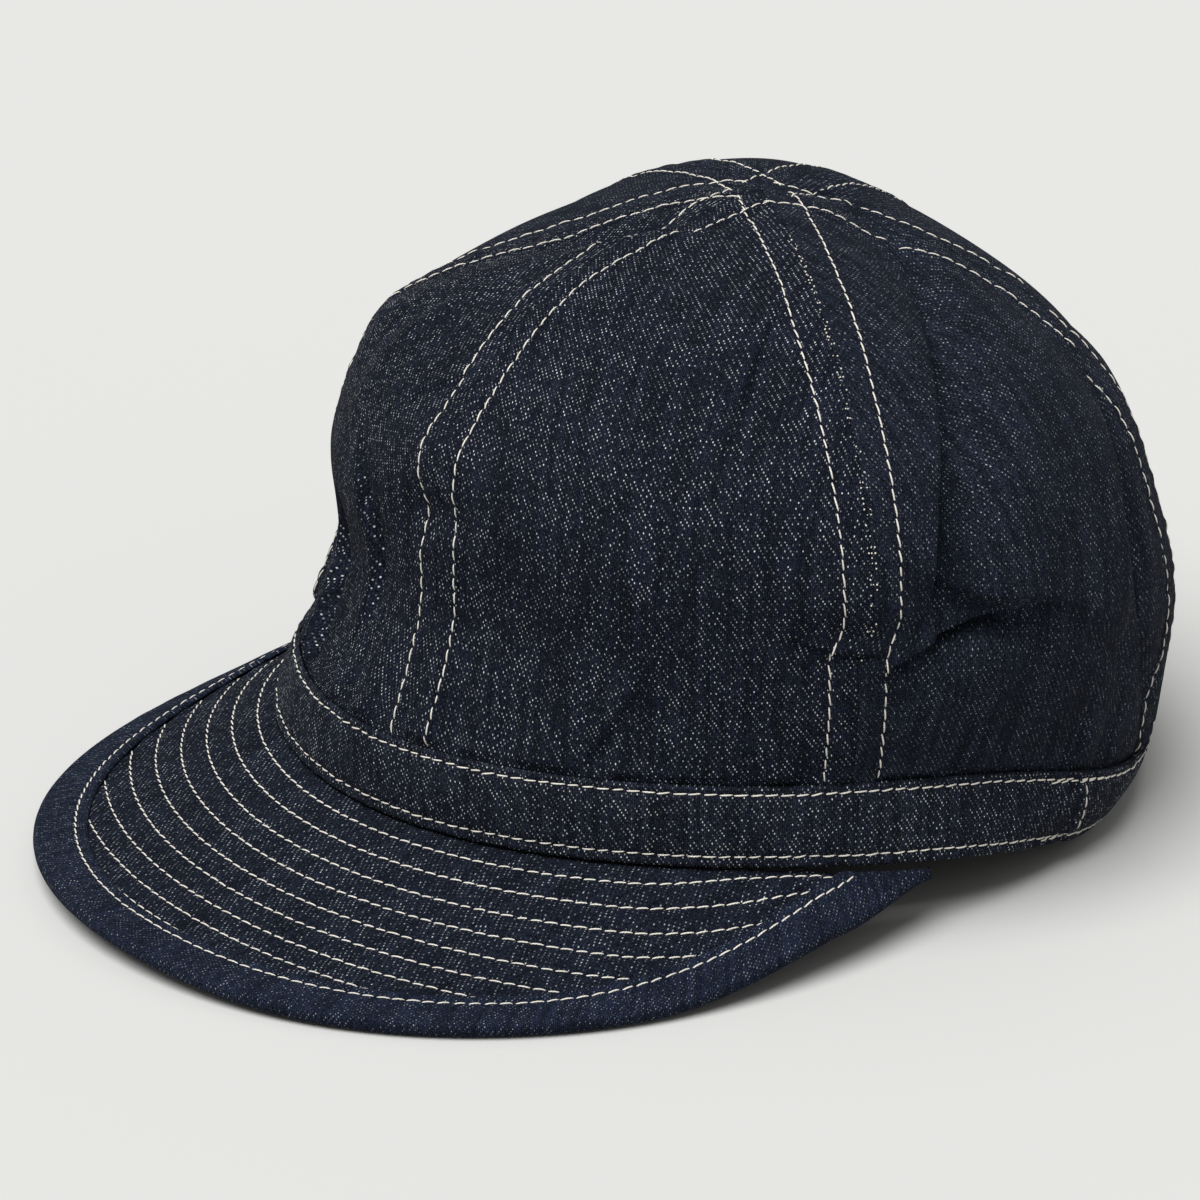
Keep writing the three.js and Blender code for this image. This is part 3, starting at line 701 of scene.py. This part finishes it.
seam_rows = []
for number in range(6):
    seam = SEAM_AT + 60.0 * number
    run = np.linspace(0.0, 0.99, 400)
    reach = crown_cloth(np.full_like(run, seam), run)[2]
    aside = np.degrees(np.arcsin(np.clip(ROW_FROM_SEAM / np.maximum(reach, 1e-3), 0, 1)))
    keep = reach > ROW_FROM_SEAM + 0.05
    for side, seed in ((-1.0, 10 * number), (1.0, 10 * number + 5)):
        degrees = seam + side * aside
        seam_rows.append(stitch_row(crown_points, degrees[keep], run[keep], (0.2, 0.001), seed))
thread_piece("crown_stitching", seam_rows, cream_thread, 1)

# White weft ends that show along the middle of the front left seam, where the denim is
# folded sharply. They are short ends of thread, in three broken rows.
NUB_APART = 1.1
NUB_HALF = 0.22
NUBS_KEPT = 0.35
run = np.linspace(0.24, 0.92, 300)
chance = np.random.default_rng(61)
nub_rows = []
for offset in (-0.35, 0.0, 0.4):
    degrees = np.full_like(run, FRONT_LEFT_SEAM + offset)
    middle, normal, along = stitch_row(crown_points, degrees, run, (0.05, 0.001), 62, apart=NUB_APART)
    kept = chance.random(len(middle)) < NUBS_KEPT
    aslant = unit(along + chance.normal(0.0, 0.5, along.shape))
    nub_rows.append((middle[kept] - 0.05 * normal[kept], normal[kept], aslant[kept]))
thread_piece("seam_nubs", nub_rows, cream_thread, 5, NUB_HALF)

# The band's stitching. One row along each folded edge, all the way round, and one down its
# lapped end. Both rows are sewn over for the last few stitches beside the join.


def band_points(degrees, height):
    """Points of the band's outer face."""
    return band_cloth(degrees, height)[0]


round_band = np.linspace(BAND_JOIN + 0.6, BAND_JOIN + 359.9, 1600)
round_band = np.where(round_band > 360, round_band - 360, round_band)
band_rows = []
for height, seed in ((LOWER_ROW, 71), (UPPER_ROW, 72)):
    halves = (round_band[round_band > BAND_JOIN + 0.5], round_band[round_band < BAND_JOIN + 0.5])
    for part, turns in enumerate(halves):
        heights = height + 0.12 * ripple(ring_length(turns), seed, (31.0, 47.0, 73.0))
        band_rows.append(stitch_row(band_points, turns, heights, (0.1, 0.1), seed + 2 * part))
    again = np.linspace(BAND_JOIN - 5.0, BAND_JOIN + 6.0, 80)
    heights = height - 0.7 + np.linspace(0.0, 0.5, 80)
    band_rows.append(stitch_row(band_points, again, heights, (0.1, 0.1), seed + 8))
down = np.linspace(16.0, 3.6, 60)
band_rows.append(stitch_row(band_points, lapped_edge(down) + 1.6, down, (0.1, 0.1), 77))
thread_piece("band_stitching", band_rows, cream_thread, 2)

# The peak. Denim on both sides of a stiff lining, quilted with nine rows of stitching that
# run round it like the band, 6 mm apart. Its inner edge is sewn under the band, and it
# narrows to nothing at both ends. It bends down from the band and rests on its rim.
PEAK_REACH = 67.5
PEAK_LEFT_END = 84.5
PEAK_RIGHT_END = 86.0
PEAK_TUCKED = 1.2
PEAK_SLOPE = 20.1
PEAK_SLOPE_SIDES = 30.6
PEAK_SLOPE_LEFT = 3.5
PEAK_CURL = 0.001725
PLATE_HALF = 0.7
PLATE_SHORT = 1.6
RIM_HALF = 2.0
QUILT_FIRST = 3.68
QUILT_APART = 6.17
QUILT_ROWS = 9
BINDING_WIDTH = 13.2

# How far the rim turns up, in mm, every 20 degrees from the front.
RIM_RISE = np.array([3.4, 1.4, 0.5, 2.4, 2.4, 0, 0, 0, 0, 0, 0, 0, 0, 0, 0.5, 0.5, 0.8, 2.4])


def rim_reach(degrees):
    """How far the rim stands out from the band: its reach in front times (1 - x^p)^1.5, for
    a share x of the angle to the peak's end, with p 2.08 on the left and 1.85 on the right."""
    left, right = np.abs(degrees / PEAK_LEFT_END) ** 2.08, np.abs(degrees / PEAK_RIGHT_END) ** 1.85
    return PEAK_REACH * np.maximum(1 - np.where(degrees < 0, right, left), 0) ** 1.5


def peak_point(degrees, distance, over):
    """A point a distance out from the band and over the middle of the peak's cloth. The
    peak slopes down from the band, more so at its sides, curls up by the square of the
    distance, turns up within 24 mm of its rim, and lands softly on the table. Its upper
    face lies 0.3 mm under the band's edge, and the binding's does so at both ends."""
    angle = np.radians(degrees)
    point, out, _ = band_foot(degrees)
    slope = PEAK_SLOPE + PEAK_SLOPE_SIDES * (1 - np.cos(angle)) + PEAK_SLOPE_LEFT * np.sin(angle)
    slope = np.radians(slope)
    away = landed(distance, 2.0)
    bound = np.maximum(ramp(np.abs(degrees), 64, 71), ramp(away, 0, 25) / 2)
    rim = rim_reach(degrees)
    rise = PEAK_CURL * away**2 - away * np.sin(slope)
    rise += round_head(RIM_RISE, degrees) * ramp(rim, 4, 26) * ramp(distance, rim - 24, rim)
    rise -= 0.3 + PLATE_HALF + (RIM_HALF - PLATE_HALF) * bound
    height = RIM_HALF + landed(point[..., 2] + rise - RIM_HALF, 0.8)
    lean = np.maximum(slope - 2 * PEAK_CURL * away, 0) * soft_step(distance, 2.0)
    level = away * np.cos(slope) + distance - away + over * np.sin(lean)
    point = point + out * level[..., None]
    point[..., 2] = height + over * np.cos(lean)
    return point


def run_in(degrees):
    """How far the rows of stitching run in towards the band at the peak's left end, in mm."""
    return 4.7 * ramp(degrees, 42.0, 68.0)


def quilting(degrees, distance):
    """How far the peak's cloth stands out: it fills by 0.3 mm between its rows of stitching,
    less a hump along each row, with ripples beside them."""
    from_first = distance + run_in(degrees) - QUILT_FIRST
    nearest = np.clip(np.round(from_first / QUILT_APART), 0, QUILT_ROWS - 1)
    off = from_first - QUILT_APART * nearest
    along = ring_length(degrees) * (1 + distance / BAND_FRONT_REACH)
    puckers = 0.12 * ripple(along + 0.5 * off, 1.0 + nearest) * bump(np.abs(off) - 2.0, 2.0)
    return 0.3 * (1 - bump(off, 1.9)) - 0.25 * bump(off, 0.6) + puckers


def peak_cloth(degrees, distance, side):
    """The peak's upper face for side 1, and its under face for side -1."""
    return peak_point(degrees, distance, side * (PLATE_HALF - 0.25 + quilting(degrees, distance)))


peak_denim = raw_denim("raw_denim_peak", "#04060a", "#1e2434", "#c0c6c6", weft_share=0.95, haze=0.01)
along_peak = np.linspace(-83.0, 82.0, 301)
degrees, share = np.meshgrid(along_peak, np.linspace(0, 1, 106), indexing="ij")
outer_edge = rim_reach(degrees) - PLATE_SHORT
distance = (outer_edge + PEAK_TUCKED) * share - PEAK_TUCKED
upper = peak_cloth(degrees, distance, 1.0)
under = peak_cloth(degrees, distance, -1.0)
under[..., 2] = np.maximum(under[..., 2], 0.02)
tube = np.concatenate([upper, under[:, ::-1], upper[:, :1]], 1)
peak = to_mesh("denim_peak", *sheet(tube, tube[..., :2], False, True, True), peak_denim)
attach(peak, "root")
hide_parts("peak")

# The peak's stitching. Its nine rows go through both cloths and the lining between them, so
# they show on both faces. The outer rows end where they meet the binding.


def peak_top(degrees, distance):
    """Points of the peak's upper face."""
    return peak_cloth(degrees, distance, 1.0)


def peak_below(degrees, distance):
    """Points of the peak's under face."""
    return peak_cloth(degrees, distance, -1.0)


quilt_rows = []
along_row = np.linspace(-80, 80, 900)
for number in range(QUILT_ROWS):
    away = np.maximum(QUILT_FIRST + QUILT_APART * number - run_in(along_row), 0.9)
    seen = rim_reach(along_row) - BINDING_WIDTH + 0.6 > away
    turns, away = along_row[seen], away[seen]
    if len(turns) > 20:
        quilt_rows.append(stitch_row(peak_top, turns, away, (0.2, 0.1), 80 + number, -1.0))
        quilt_rows.append(stitch_row(peak_below, turns, away, (0.2, 0.1), 90 + number, 1.0))
thread_piece("peak_stitching", quilt_rows, cream_thread, 3)

# The binding. A strip of slightly bluer denim folded over the peak's rim, its raw edges
# turned in, and sewn down through both sides with one row of stitching.
BINDING_HALF = RIM_HALF - 0.15
BINDING_NOSE = 1.5
BINDING_ROW = 10.3


def binding_edge(degrees):
    """Where the binding's turned edge lies, out from the band: its width from the rim, or
    0.5 mm in under the band."""
    return np.maximum(rim_reach(degrees) - BINDING_WIDTH, -0.5)


def binding_over(degrees, distance):
    """How high the binding's leg lies over the middle of the peak: a quarter round of 0.8 mm
    down at its turned edge, where that is clear of the band, less a hump along its row of
    stitching, with ripples across it and a low hump between the row and the rim."""
    rim = rim_reach(degrees)
    from_rim = rim - distance
    into = 1 - quarter_round(distance - binding_edge(degrees), 0.8)
    into *= ramp(rim - BINDING_WIDTH, -0.5, 2.5)
    lengthwise = ring_length(degrees) * (1 + rim / BAND_FRONT_REACH)
    waves = 0.2 * ripple(lengthwise + 0.3 * from_rim, 5.0) * bump(from_rim - 5.5, 4.0)
    sunk = 0.3 * bump(from_rim - BINDING_ROW, 0.7)
    return BINDING_HALF + waves - 0.8 * into - sunk + 0.12 * bump(from_rim - 6, 4)


binding_denim = raw_denim("raw_denim_binding", "#040710", "#252e43", "#bcc2c6", weft_share=0.7, haze=0.018)

# Across the strip, a path goes out over the upper leg, round the nose at the rim, which is
# half a turn, and back over the lower leg.
along_rim = np.linspace(-84.0, 82.5, 421)
leg = np.concatenate([[0, 0.02, 0.05, 0.09], np.linspace(0.14, 1, 18)])
nose = np.linspace(0, np.pi, 10)[1:-1]
path_share = np.concatenate([leg, np.ones_like(nose), leg[::-1]])
path_turn = np.concatenate([0 * leg, nose, 0 * leg + np.pi])
degrees, share = np.meshgrid(along_rim, path_share, indexing="ij")
turned = np.broadcast_to(path_turn, degrees.shape)
upper_leg, lower_leg = turned == 0, turned == np.pi
rim = rim_reach(degrees)
inner_edge = binding_edge(degrees)
distance = inner_edge + (rim - BINDING_NOSE - inner_edge) * share
leg_over = np.where(lower_leg, -1.0, 1.0) * binding_over(degrees, distance)
outer_over = np.where(upper_leg | lower_leg, leg_over, BINDING_HALF * np.cos(turned))
outer = peak_point(degrees, distance + BINDING_NOSE * np.sin(turned), outer_over)
lining = peak_point(degrees, distance + 0.4 * np.sin(turned), (PLATE_HALF + 0.2) * np.cos(turned))
outer[..., 2] = np.maximum(outer[..., 2], 0.0)
lining[..., 2] = np.maximum(lining[..., 2], 0.3)
steps_along = np.linalg.norm(np.diff(outer[:, len(leg)], axis=0), axis=-1)
lengthwise = np.concatenate([[0.0], np.cumsum(steps_along)])[:, None] + 0 * rim
tube = np.concatenate([outer, lining[:, ::-1], outer[:, :1]], 1)
round_nose = np.where(upper_leg, distance - rim + BINDING_NOSE, 1.9 * turned)
over_rim = np.where(lower_leg, 6.0 + rim - distance, round_nose)
cloth = np.stack([lengthwise, over_rim], -1)
cloth = np.concatenate([cloth, cloth[:, ::-1], cloth[:, :1]], 1)
binding = to_mesh("denim_peak_binding", *sheet(tube, cloth, False, True, True), binding_denim)
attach(binding, "root")
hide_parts("peak_binding")

# The binding's stitching. One row of the same thread, 10 mm from the rim, sewn through both
# legs of the binding and the peak between them.


def binding_top(degrees, distance):
    """Points of the binding's upper leg."""
    return peak_point(degrees, distance, binding_over(degrees, distance))


def binding_below(degrees, distance):
    """Points of the binding's lower leg."""
    return peak_point(degrees, distance, -binding_over(degrees, distance))


turns = np.linspace(-81.0, 80.5, 1200)
line = rim_reach(turns) - BINDING_ROW
turns, line = turns[line > 0.6], line[line > 0.6]
binding_rows = [
    stitch_row(binding_top, turns, line, (0.2, 0.1), 101, -1.0),
    stitch_row(binding_below, turns, line, (0.2, 0.1), 102, 1.0),
]
thread_piece("binding_stitching", binding_rows, cream_thread, 4)

# The floor: a plain, pale and quite matt table top, far wider than the view.
floor_mesh = bpy.data.meshes.new("floor")
floor_mesh.from_pydata([(-4, -4, 0), (4, -4, 0), (4, 4, 0), (-4, 4, 0)], [], [(0, 1, 2, 3)])
floor = bpy.data.objects.new("floor", floor_mesh)
bpy.context.scene.collection.objects.link(floor)
board = bpy.data.materials.new("matt_white_board")
board.use_nodes = True
sockets = board.node_tree.nodes["Principled BSDF"].inputs
sockets["Base Color"].default_value = linear("#bbbbb9")
sockets["Roughness"].default_value = 1.0
sockets["Specular IOR Level"].default_value = 0.0
floor_mesh.materials.append(board)

# The light: a pale room, and one broad soft lamp high up, to the left of the camera.
world = bpy.data.worlds.new("pale_room")
bpy.context.scene.world = world
world.use_nodes = True
background = world.node_tree.nodes["Background"].inputs
background["Color"].default_value = linear("#f2f2f2")
background["Strength"].default_value = 0.46
lamp = bpy.data.lights.new("broad_lamp", "SUN")
lamp.energy = 4.3
lamp.angle = np.radians(45)
lamp_object = bpy.data.objects.new("broad_lamp", lamp)
lamp_object.rotation_euler = Vector((-0.2, 0.47, -1.0)).to_track_quat("-Z", "Y").to_euler()
bpy.context.scene.collection.objects.link(lamp_object)

# The camera stands 1.3 m away, between the front and the wearer's left, and looks down at
# the cap by 22 degrees.
target = Vector((-0.0268, 0.0177, 0.0361))
turn, tilt = np.radians(52.6), np.radians(22.2)
back = Vector((np.sin(turn) * np.cos(tilt), -np.cos(turn) * np.cos(tilt), np.sin(tilt)))
camera = bpy.data.cameras.new("camera")
camera.lens = 175.0
camera.clip_start = 0.05
camera_object = bpy.data.objects.new("camera", camera)
camera_object.location = target + back * 1.3
camera_object.rotation_euler = back.to_track_quat("Z", "Y").to_euler()
bpy.context.scene.collection.objects.link(camera_object)
bpy.context.scene.camera = camera_object
bpy.context.scene.view_settings.view_transform = "Standard"
